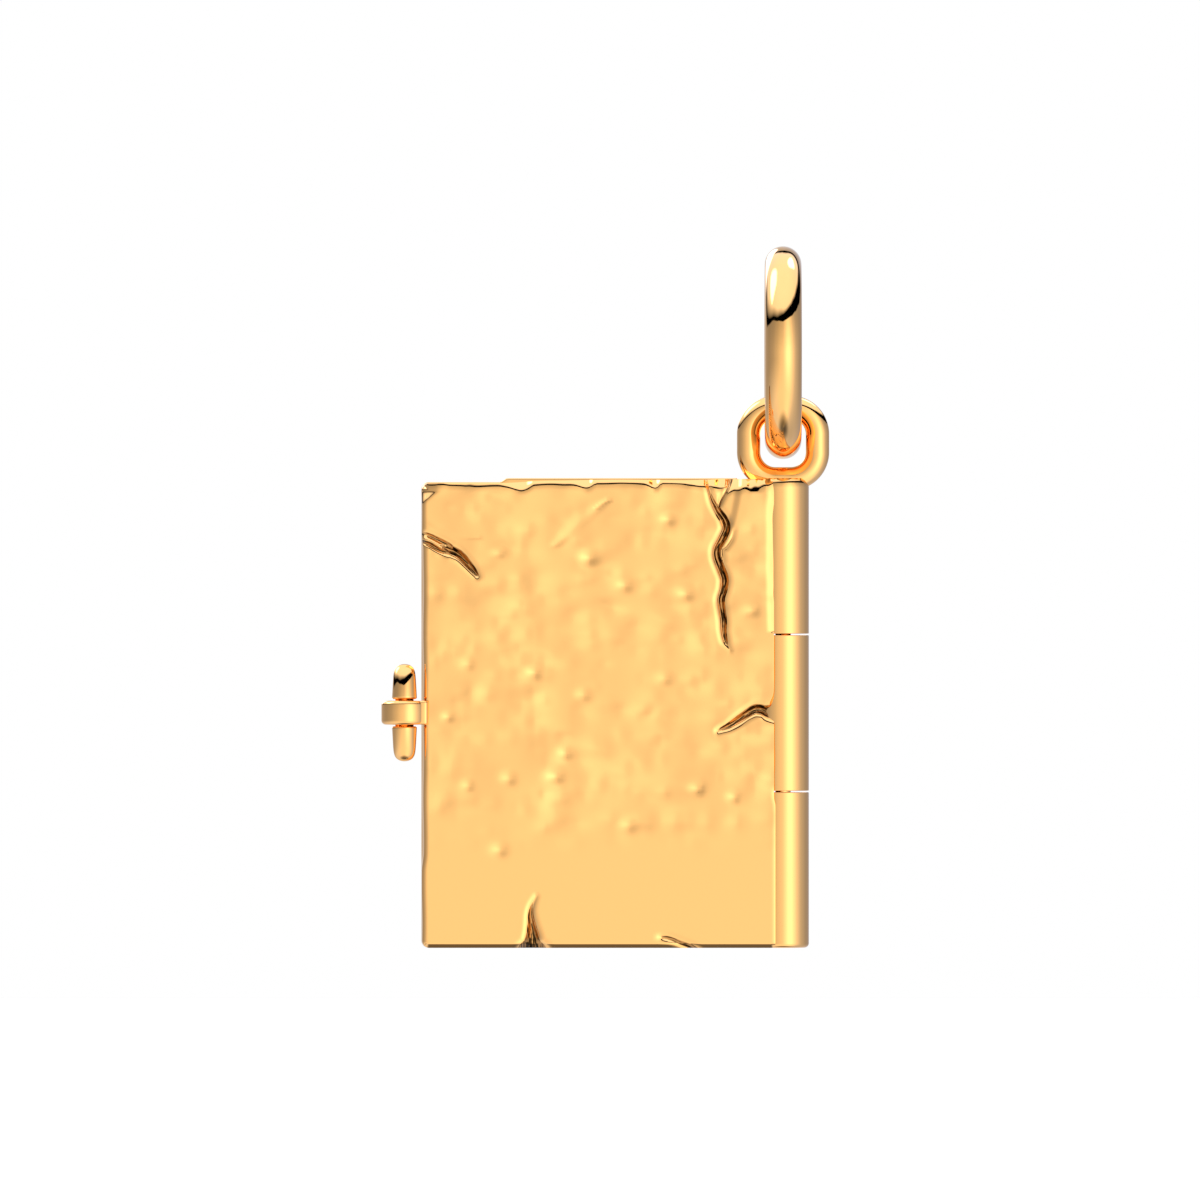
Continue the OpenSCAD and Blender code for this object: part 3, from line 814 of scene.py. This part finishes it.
def knuckle_shape(low, high, bore, low_end, high_end):
    """A turned knuckle with a bore. Its ends are rows of [distance from the end, depth below its surface]."""
    r = sizes().barrel_radius / MM
    profile = [[bore, low]] + [[r - depth, low + distance] for distance, depth in low_end]
    profile += [[r - depth, high - distance] for distance, depth in reversed(high_end)] + [[bore, high]]
    return turned(profile, closed=True)


def soft_end():
    """The barrel's top end rolls over as the covers' top edge does."""
    count, reach, crowding = 26, 0.32, 1.6
    distances = reach * np.linspace(0, 1, count) ** crowding
    depths = edge_roll(np.full(count, COVER_W), distances, sizes().edge_radius / MM)
    return np.column_stack([distances, depths]).tolist()


class BOOKCHARM_OT_ring(bpy.types.Operator):
    """Adds the plain round ring that carries the charm"""

    bl_idname = "bookcharm.add_ring"
    bl_label = "Charm ring"

    def execute(self, context):
        wire = sizes().ring_wire / MM
        middle_r = (ring_high[2] - ring_low[2] - wire) / 2
        middle_z = (ring_high[2] + ring_low[2]) / 2
        outward = np.insert(circle(2, 288), 0, 0, axis=1)
        path = middle_r * outward + [0, 0, middle_z]
        add_piece("charm_ring_wire", swept(path, [1, 0, 0], outward, circle(wire, 72), closed=True),
                  "ring", "charm_ring", polished_gold())
        return {"FINISHED"}


class BOOKCHARM_OT_back_cover(bpy.types.Operator):
    """Adds the back cover with its cracks, bites and dents"""

    bl_idname = "bookcharm.add_back_cover"
    bl_label = "Back cover"

    def execute(self, context):
        room = [(LOWER_JOINT_Z, UPPER_JOINT_Z)]
        shape, tracks = cover_shape(-1, back_face, back_edges, BACK_COLUMNS, BACK_ROWS, room)
        add_piece("back_cover_panel", shape, "book", "back_cover", worn_gold_with_painted_crack_shade(), tracks)
        return {"FINISHED"}


class BOOKCHARM_OT_front_cover(bpy.types.Operator):
    """Adds the front cover with its dents and its notch for the bail"""

    bl_idname = "bookcharm.add_front_cover"
    bl_label = "Front cover"

    def execute(self, context):
        past_end = 1
        room = [(UPPER_JOINT_Z - KNUCKLE_GAP, BARREL_TOP + past_end),
                (BARREL_BOTTOM - past_end, LOWER_JOINT_Z + KNUCKLE_GAP)]
        shape, tracks = cover_shape(1, front_face, front_edges, FRONT_COLUMNS, FRONT_ROWS, room)
        add_piece("front_cover_panel", shape, "front", "front_cover", worn_gold_with_painted_crack_shade(), tracks)
        return {"FINISHED"}


class BOOKCHARM_OT_barrel(bpy.types.Operator):
    """Adds the hinge barrel's three knuckles and its pin"""

    bl_idname = "bookcharm.add_barrel"
    bl_label = "Hinge barrel"

    def execute(self, context):
        # Ends at a joint are barely rounded, and the barrel's foot is a quarter circle
        joint = [[0, 0.018], [0.005, 0.007], [0.018, 0], [0.03, 0]]
        turns = np.radians(np.linspace(90, 0, 13))
        foot = np.column_stack([1 - np.sin(turns), 1 - np.cos(turns)]) * BOTTOM_BEVEL
        foot = foot.tolist() + [[BOTTOM_BEVEL + 0.04, 0]]
        upper = knuckle_shape(UPPER_JOINT_Z, BARREL_TOP, SEAT_R, joint, soft_end())
        lower = knuckle_shape(BARREL_BOTTOM, LOWER_JOINT_Z, SEAT_R, foot, joint)
        middle = knuckle_shape(LOWER_JOINT_Z + KNUCKLE_GAP, UPPER_JOINT_Z - KNUCKLE_GAP, RUNNING_R, joint,
                               joint)
        add_piece("upper_knuckle", upper, "book", "back_cover", polished_gold())
        add_piece("lower_knuckle", lower, "book", "back_cover", polished_gold())
        add_piece("middle_knuckle", middle, "front", "front_cover", polished_gold())
        radius = (pin_high[0] - pin_low[0]) / 2
        bevel = 0.04
        profile = [[radius - bevel, pin_low[2]], [radius, pin_low[2] + bevel], [radius, pin_high[2]]]
        add_piece("hinge_pin_rod", turned(profile, 48), "book", "hinge_pin", polished_gold())
        return {"FINISHED"}


class BOOKCHARM_OT_bail(bpy.types.Operator):
    """Adds the bail, a rounded loop of wire soldered on top of the spine"""

    bl_idname = "bookcharm.add_bail"
    bl_label = "Bail"

    def execute(self, context):
        wire = sizes().bail_wire / MM
        tall, corner_r = 3.08, 0.87
        outline, outward = rounded_box(2 * back_high[0] - wire, tall - wire, corner_r, 40)
        path, sides = (np.insert(v, 1, 0, axis=1) for v in (outline, outward))
        path = path + [0, 0, back_high[2] - tall / 2]
        add_piece("bail_loop", swept(path, sides, [0, 1, 0], circle(wire, 64), closed=True),
                  "book", "back_cover", polished_gold())
        return {"FINISHED"}


class BOOKCHARM_OT_clip(bpy.types.Operator):
    """Adds the clasp's clip, an open ring of flat strip soldered to the fore-edge"""

    bl_idname = "bookcharm.add_clip"
    bl_label = "Clasp clip"

    def execute(self, context):
        outer_r = sizes().clip_width / MM / 2
        bore_r = NECK_D / 2 + NECK_GAP
        edge_r, edge_share, bevel, tip_angle = 0.14, 0.42, 0.03, 52
        half = CLIP_H / 2
        path, sides, sections = [], [], []
        for a in np.radians(np.linspace(tip_angle, -180 - tip_angle, 97)):
            direction = np.array([math.cos(a), math.sin(a)])
            outer, inner = outer_r * direction, bore_r * direction
            # The bore goes straight on towards the clip's open mouth
            if direction[1] > 0:
                inner = np.array([math.copysign(bore_r, direction[0]), outer[1]])
            span = np.linalg.norm(outer - inner)
            r = min(edge_r, edge_share * span)
            sections.append([[bevel, -half], *fillet((span - r, r - half), r, -90, 0),
                             *fillet((span - r, half - r), r, 0, 90), [bevel, half],
                             [0, half - bevel], [0, bevel - half]])
            path.append([CLASP_X + inner[0], CLASP_Y + inner[1], CLASP_Z])
            sides.append([*(outer - inner) / span, 0])
        clip = swept(path, sides, [0, 0, 1], sections)
        # Its root goes into the fore-edge and stops inside the cover
        root_d, root_h, root_r, below_face = 0.45, 0.76, 0.08, 0.12
        root_path = [[COVER_LEFT + x, -HALF_T + below_face + root_d / 2, CLASP_Z] for x in (-0.4, 0.1)]
        root = swept(root_path, [0, 1, 0], [0, 0, 1], rounded_box(root_d, root_h, root_r)[0])
        add_piece("clasp_clip", joined(clip, root, clip_foot()), "book", "back_cover", polished_gold())
        return {"FINISHED"}


def clip_foot():
    """The clip's end towards the face is filed flat in front and rounded all round."""
    foot_w, foot_d, foot_round = 0.36, 0.62, 0.13
    outline, outward = rounded_box(foot_w, foot_d, foot_round, 8)
    middle = [CLASP_X + 0.6, CLASP_Y - 0.2]
    edge_r = 0.08
    turns = np.radians(np.linspace(90, 0, 7))
    heights = CLIP_H / 2 - edge_r + edge_r * np.sin(turns)
    insets = edge_r * (1 - np.cos(turns))
    sections = [outline - inset * outward for inset in [*insets, *insets[::-1]]]
    path = [[*middle, CLASP_Z + z] for z in [*heights, *-heights[::-1]]]
    return swept(path, [1, 0, 0], [0, 1, 0], sections)


class BOOKCHARM_OT_cross_bar(bpy.types.Operator):
    """Adds the clasp's cross bar and the curved arm that carries it on the front cover"""

    bl_idname = "bookcharm.add_cross_bar"
    bl_label = "Clasp cross bar"

    def execute(self, context):
        bar_r, tip, tip_r, play = 0.405, 1.58, 0.01, 0.05
        shoulder = CLIP_H / 2 + play
        taper, wedge, round_power, bevel = 0.15, 0.235, 9, 0.04
        shares = np.sin(np.linspace(0, 1, 30) * math.pi / 2)[:-1]
        end = np.sqrt(1 - shares ** round_power)
        widths = bar_r * (1 - taper * shares) * end
        lean = bar_r * wedge * (shares + shares ** 2)
        heights = shoulder + bevel + shares * (tip - shoulder - bevel)
        neck_r, rim_r = NECK_D / 2, bar_r - bevel
        upper = [[neck_r, neck_r, 0, 0], [neck_r, neck_r, 0, shoulder], [rim_r, rim_r, 0, shoulder]]
        upper += np.column_stack([widths, (bar_r - lean) * end, lean, heights]).tolist()
        upper.append([tip_r, tip_r, lean[-1], tip])
        upper = np.array(upper)
        profile = np.vstack([upper[:0:-1] * [1, 1, 1, -1], upper]) + [0, 0, CLASP_Y, CLASP_Z]
        path = [[CLASP_X, y, z] for y, z in profile[:, 2:]]
        bar = swept(path, [1, 0, 0], [0, 1, 0], profile[:, None, :2] * circle(2, 80))
        add_piece("cross_bar", joined(bar, clasp_arm()), "front", "front_cover", polished_gold())
        return {"FINISHED"}


def clasp_arm():
    """The arm follows a circle about the hinge, then bends into the front cover's fore-edge."""
    swing_r = math.hypot(CLASP_X - HINGE_X, CLASP_Y)
    foot_y, bend_r = 0.43, 0.3
    turn_y = foot_y - bend_r
    arm_w, foot_w, arm_h, arm_round, into_cover = 0.4, 0.46, 0.5, 0.12, 0.1
    path = []
    for y in np.linspace(CLASP_Y, turn_y, 28):
        path.append([HINGE_X - math.sqrt(swing_r ** 2 - y ** 2), y])
    corner_x = path[-1][0] + bend_r
    for a in np.radians(np.linspace(180, 90, 10)[1:]):
        path.append([corner_x + bend_r * math.cos(a), turn_y + bend_r * math.sin(a)])
    path.append([COVER_LEFT + into_cover, foot_y])
    path = np.array(path)
    along = np.gradient(path, axis=0)
    along /= np.linalg.norm(along, axis=1)[:, None]
    sides = np.stack([-along[:, 1], along[:, 0], np.zeros(len(path))], axis=1)
    points = np.column_stack([path, np.full(len(path), CLASP_Z)])
    # It widens towards its foot
    shares = ease(np.linspace(-1.2, 1, len(path)))
    sections = [rounded_box(arm_w + (foot_w - arm_w) * s, arm_h, arm_round, 5)[0] for s in shares]
    return swept(points, sides, [0, 0, 1], sections)


# Studio: how bright the walls are round the charm, [degrees from the camera to the right, brightness]
WALLS = [[-180, 0.8], [-150, 0.52], [-120, 0.4], [-90, 0.42], [-60, 0.56], [-30, 0.83], [0, 1.14], [15, 1.6],
         [30, 1.93], [45, 1.66], [60, 1.16], [80, 0.72], [110, 0.46], [140, 0.38], [160, 0.45], [180, 0.8]]
# How bright the pale table below is, by direction, and how far it takes over from the walls, by elevation
TABLE = [[-180, 0.8], [-130, 0.84], [-80, 0.95], [-40, 1.1], [0, 1.18], [40, 1.36], [60, 1.14], [80, 0.8],
         [120, 0.58], [180, 0.8]]
TABLE_SHARE = [[-90, 1], [-42, 1], [-6, 0], [90, 0]]
# Shade close round the charm's foot and dimmer walls towards their upper edge, by elevation
SHADE = [[-90, 0.2], [-80, 0.24], [-72, 0.6], [-64, 1], [-6, 1], [0, 1], [8, 0.92], [16, 0.83], [24, 0.75],
         [34, 0.66], [90, 0.66]]
# How bright the ceiling is by elevation
CEILING = [[0, 1.15], [25, 1.2], [45, 1.32], [70, 1.42], [90, 1.4]]
# The black gap between walls and ceiling by direction, in degrees: its lower edge, thickness and the softness
# of its upper edge
GAP_LOW = [[-180, 33], [-168, 28], [-150, 9], [-120, 8.5], [-80, 22], [-40, 31], [0, 34], [30, 35], [60, 32],
           [90, 26], [120, 17], [140, 11], [152, 12], [168, 28], [180, 33]]
GAP_THICKNESS = [[-180, 5], [-120, 3], [-40, 4], [-15, 7], [20, 9], [90, 11], [140, 9], [180, 6]]
GAP_SOFTNESS = [[-180, 5], [-120, 9], [-40, 10], [-10, 8], [20, 5], [140, 5], [180, 5]]
# How blue the light is away from the camera's side, by direction, and the blue of the ceiling
COOL = [[-180, 0], [-150, 0.1], [-120, 0.6], [-60, 0.3], [-30, 0], [45, 0], [75, 0.5], [110, 0.9], [150, 0.7],
        [180, 0.2]]
COOL_LIGHT = (0.95, 1.08, 1.5, 1)
CEILING_LIGHT = (0.95, 1.02, 1.2, 1)
# Soft boxes: [degrees to the right, elevation, half width, half height, brightness]
SOFT_BOXES = [[-110, 45, 22, 16, 2.6], [-160, 17, 13, 11, 2.4], [145, 48, 12, 12, 2.6]]
# Shape of a soft box: the power that rounds its corners, where its light ends, and how fast it fades
BOX_POWER = 3
BOX_END = 1.4
BOX_FADE = 1.1


def studio_light(world):
    """The studio as the gold sees it, and plain white behind the charm."""
    tree = world.node_tree
    tree.nodes.clear()

    def calc(operation, *values, clamp=False):
        return calculated(tree, operation, *values, clamp=clamp)

    def by_angle(rows, angle, low, span):
        """A value that follows a smooth curve through the rows as the angle, in degrees, turns."""
        scale = max(abs(value) for _, value in rows)
        share = calc("DIVIDE", calc("SUBTRACT", angle, low), span)
        ramp = add_node(tree, "ShaderNodeValToRGB", Fac=share)
        ramp.color_ramp.interpolation = "CARDINAL"
        marks = ramp.color_ramp.elements
        while len(marks) < len(rows):
            marks.new(0.5)
        for mark, (degrees, value) in zip(marks, rows):
            mark.position = (degrees - low) / span
            mark.color = [value / scale] * 3 + [1]
        return calc("MULTIPLY", ramp.outputs["Color"], scale)

    direction = add_node(tree, "ShaderNodeTexCoord").outputs["Generated"]
    axes = add_node(tree, "ShaderNodeSeparateXYZ", Vector=direction)
    x, y, z = axes.outputs
    turn = calc("DEGREES", calc("ARCTAN2", x, calc("MULTIPLY", y, -1)))
    rise = calc("DEGREES", calc("ARCSINE", calc("MINIMUM", calc("MAXIMUM", z, -1), 1)))
    around, upright = (-180, 360), (-90, 180)
    table_share = calc("ADD", by_angle(TABLE_SHARE, rise, *upright), 0, clamp=True)
    walls = calc("ADD", calc("MULTIPLY", by_angle(TABLE, turn, *around), table_share),
                 calc("MULTIPLY", by_angle(WALLS, turn, *around), calc("SUBTRACT", 1, table_share)))
    walls = calc("MULTIPLY", walls, by_angle(SHADE, rise, *upright))
    above = calc("SUBTRACT", rise, by_angle(GAP_LOW, turn, *around))
    past_gap = calc("SUBTRACT", above, by_angle(GAP_THICKNESS, turn, *around))
    open_sky = calc("DIVIDE", past_gap, by_angle(GAP_SOFTNESS, turn, *around), clamp=True)
    ceiling = calc("MULTIPLY", by_angle(CEILING, rise, *upright), open_sky)
    below_gap = calc("SUBTRACT", 0.5, above, clamp=True)
    for degrees, elevation, half_w, half_h, brightness in SOFT_BOXES:
        off_turn = calc("WRAP", calc("SUBTRACT", turn, degrees), 180, -180)
        off_w = calc("DIVIDE", calc("ABSOLUTE", off_turn), half_w)
        off_h = calc("DIVIDE", calc("ABSOLUTE", calc("SUBTRACT", rise, elevation)), half_h)
        away = calc("ADD", calc("POWER", off_w, BOX_POWER), calc("POWER", off_h, BOX_POWER))
        box = calc("MULTIPLY", calc("SUBTRACT", BOX_END, away), BOX_FADE, clamp=True)
        ceiling = calc("ADD", ceiling, calc("MULTIPLY", box, brightness))
    cool = add_node(tree, "ShaderNodeMix", {"data_type": "RGBA", 6: (1, 1, 1, 1), 7: COOL_LIGHT},
                    Factor=by_angle(COOL, turn, *around))
    wall_light = add_node(tree, "ShaderNodeBackground", Color=cool.outputs[2],
                          Strength=calc("MULTIPLY", walls, below_gap))
    ceiling_light = add_node(tree, "ShaderNodeBackground", {"Color": CEILING_LIGHT}, Strength=ceiling)
    studio = add_node(tree, "ShaderNodeAddShader", i0=wall_light.outputs[0], i1=ceiling_light.outputs[0])
    backdrop = add_node(tree, "ShaderNodeBackground", {"Color": (1, 1, 1, 1), "Strength": 1.0})
    seen = add_node(tree, "ShaderNodeLightPath").outputs["Is Camera Ray"]
    both = add_node(tree, "ShaderNodeMixShader", Fac=seen, i1=studio.outputs[0], i2=backdrop.outputs[0])
    add_node(tree, "ShaderNodeOutputWorld", Surface=both.outputs[0])


class BOOKCHARM_OT_stage(bpy.types.Operator):
    """Adds the pale floor, the studio light and the camera"""

    bl_idname = "bookcharm.add_stage"
    bl_label = "Stage"

    def execute(self, context):
        scene = context.scene
        scene.view_settings.view_transform = "Standard"
        scene.world = bpy.data.worlds.new("plain white studio")
        scene.world.use_nodes = True
        studio_light(scene.world)
        floor_drop, half = 45, 4000
        floor_z = back_low[2] - floor_drop
        corners = [(-half, -half), (half, -half), (half, half), (-half, half)]
        mesh = bpy.data.meshes.new("floor")
        mesh.from_pydata([(x * MM, y * MM, floor_z * MM) for x, y in corners], [], [(0, 1, 2, 3)])
        material, tree = new_material("matt white paper")
        paper = add_node(tree, "ShaderNodeBsdfPrincipled",
                         {"Base Color": finish().floor, "Roughness": 0.9, "Emission Color": finish().floor,
                          "Emission Strength": 0.25})
        add_node(tree, "ShaderNodeOutputMaterial", Surface=paper.outputs["BSDF"])
        mesh.materials.append(material)
        floor = bpy.data.objects.new("floor", mesh)
        floor.visible_glossy = False
        scene.collection.objects.link(floor)
        distance = 1200
        frame_width, sensor = 39.0, 36.0
        aim = np.array([-5.95, 0, -10.3])
        camera_data = bpy.data.cameras.new("camera")
        camera_data.sensor_width = sensor
        camera_data.lens = sensor * distance / frame_width
        camera = bpy.data.objects.new("camera", camera_data)
        camera.location = (aim - [0, distance, 0]) * MM
        camera.rotation_euler = (math.pi / 2, 0, 0)
        scene.collection.objects.link(camera)
        scene.camera = camera
        return {"FINISHED"}


class BOOKCHARM_PT_panel(bpy.types.Panel):
    """Lists the charm's pieces, sizes and finish"""

    bl_idname = "BOOKCHARM_PT_panel"
    bl_label = "Book charm"
    bl_space_type = "VIEW_3D"
    bl_region_type = "UI"
    bl_category = "Book charm"

    def draw(self, context):
        layout = self.layout
        for group in (sizes(), finish()):
            for name in group.__annotations__:
                layout.prop(group, name)
        for operator in OPERATORS:
            layout.operator(operator.bl_idname)


OPERATORS = [BOOKCHARM_OT_ring, BOOKCHARM_OT_back_cover, BOOKCHARM_OT_front_cover, BOOKCHARM_OT_barrel,
             BOOKCHARM_OT_bail, BOOKCHARM_OT_clip, BOOKCHARM_OT_cross_bar, BOOKCHARM_OT_stage]
CLASSES = [BookCharmSizes, BookCharmFinish, *OPERATORS, BOOKCHARM_PT_panel]


def register():
    for cls in CLASSES:
        bpy.utils.register_class(cls)
    bpy.types.Scene.book_charm_sizes = bpy.props.PointerProperty(type=BookCharmSizes)
    bpy.types.Scene.book_charm_finish = bpy.props.PointerProperty(type=BookCharmFinish)


def unregister():
    del bpy.types.Scene.book_charm_finish
    del bpy.types.Scene.book_charm_sizes
    for cls in reversed(CLASSES):
        bpy.utils.unregister_class(cls)


def main():
    register()
    bpy.ops.bookcharm.add_ring()
    bpy.ops.bookcharm.add_back_cover()
    bpy.ops.bookcharm.add_front_cover()
    bpy.ops.bookcharm.add_barrel()
    bpy.ops.bookcharm.add_bail()
    bpy.ops.bookcharm.add_clip()
    bpy.ops.bookcharm.add_cross_bar()
    bpy.ops.bookcharm.add_stage()


if __name__ == "__main__":
    main()
